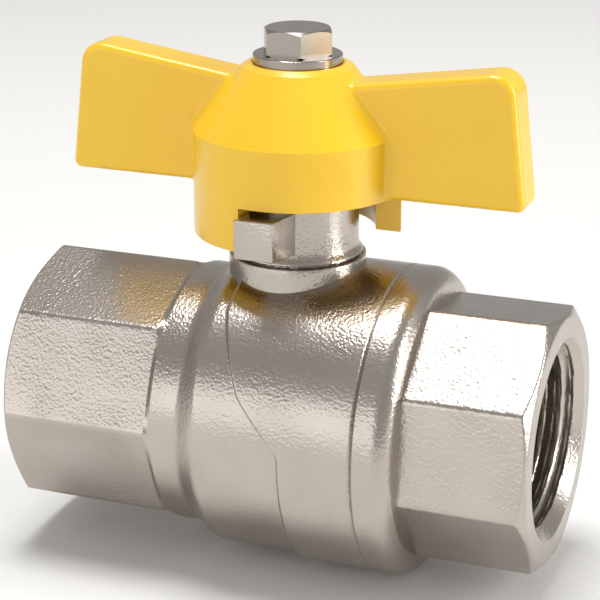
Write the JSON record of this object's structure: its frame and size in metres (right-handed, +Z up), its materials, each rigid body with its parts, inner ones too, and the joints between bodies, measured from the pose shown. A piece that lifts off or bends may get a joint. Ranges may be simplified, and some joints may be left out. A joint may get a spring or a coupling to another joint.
{
  "type": "ball valve",
  "caption": "Ball valve with female threaded ends, octagonal wrench flats and a butterfly handle that turns the ball a quarter turn to open or close the flow.",
  "frame": {"origin": "centre of the ball, where the pipe axis and the stem axis cross", "axes": "+X along the pipe axis towards the end connector (outlet), +Z up along the stem, +Y to the back, away from the stop lug; the valve stands open"},
  "size_m": [0.0604, 0.0344, 0.0602],
  "materials": {
    "plated_body": "sand-blasted nickel plate",
    "yellow_enamel": "satin",
    "fastener_steel": "smooth",
    "ball_chrome": "polished chrome plate",
    "stem_brass": "turned",
    "seat_ptfe": "satin",
    "seal_rubber": "matte"
  },
  "bodies": {
    "housing": {"valve_body": "plated_body", "end_connector": "plated_body", "joint_seal": "seal_rubber", "seat_ring_inlet": "seat_ptfe", "seat_ring_outlet": "seat_ptfe", "seat_backing_ring_inlet": "seal_rubber", "seat_backing_ring_outlet": "seal_rubber", "packing_ring_lower": "seat_ptfe", "packing_ring_upper": "seat_ptfe", "gland_nut": "stem_brass"},
    "spindle": {"stem": "stem_brass", "stem_thrust_washer": "seat_ptfe", "stem_o_ring_lower": "seal_rubber", "stem_o_ring_upper": "seal_rubber", "handle": "yellow_enamel", "handle_washer": "fastener_steel", "handle_screw": "fastener_steel"},
    "ball_body": {"ball": "ball_chrome"}
  },
  "joints": [
    {"name": "handle_turn", "type": "hinge", "parent": "housing", "child": "spindle", "pos_m": [0, 0, 0], "axis": [0, 0, 1], "range_deg": [-90, 0]},
    {"name": "ball_turn", "type": "hinge", "parent": "housing", "child": "ball_body", "pos_m": [0, 0, 0], "axis": [0, 0, 1], "range_deg": [-90, 0]}
  ],
  "couplings": [
    {"joint": "ball_turn", "follows": "handle_turn", "ratio": 1}
  ]
}
